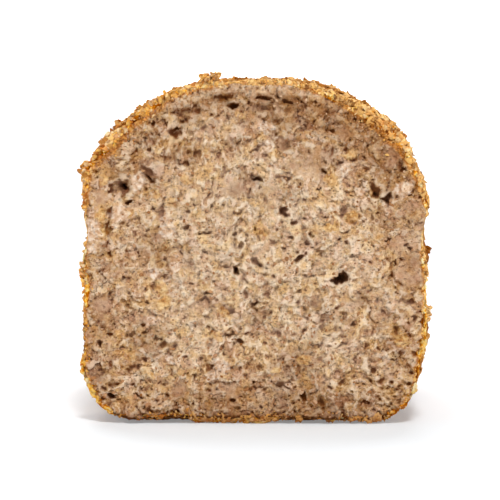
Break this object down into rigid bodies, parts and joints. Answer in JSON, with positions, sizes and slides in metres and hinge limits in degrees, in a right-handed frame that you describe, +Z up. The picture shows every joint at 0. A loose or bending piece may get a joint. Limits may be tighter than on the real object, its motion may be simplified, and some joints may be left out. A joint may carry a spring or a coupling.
{
  "type": "oat bread",
  "caption": "Half of an oat loaf with a domed crust, standing on its base with the cut face forward.",
  "frame": {"origin": "on the table, under the middle of the loaf's width and length", "axes": "+Z up, -Y out of the cut face, +X to the right as seen when facing the cut"},
  "size_m": [0.1139, 0.1237, 0.1111],
  "materials": {
    "bread": "matt baked bread: golden-brown crust with oat flakes, beige crumb at the cut"
  },
  "bodies": {
    "root": {"loaf": "bread"}
  },
  "joints": []
}
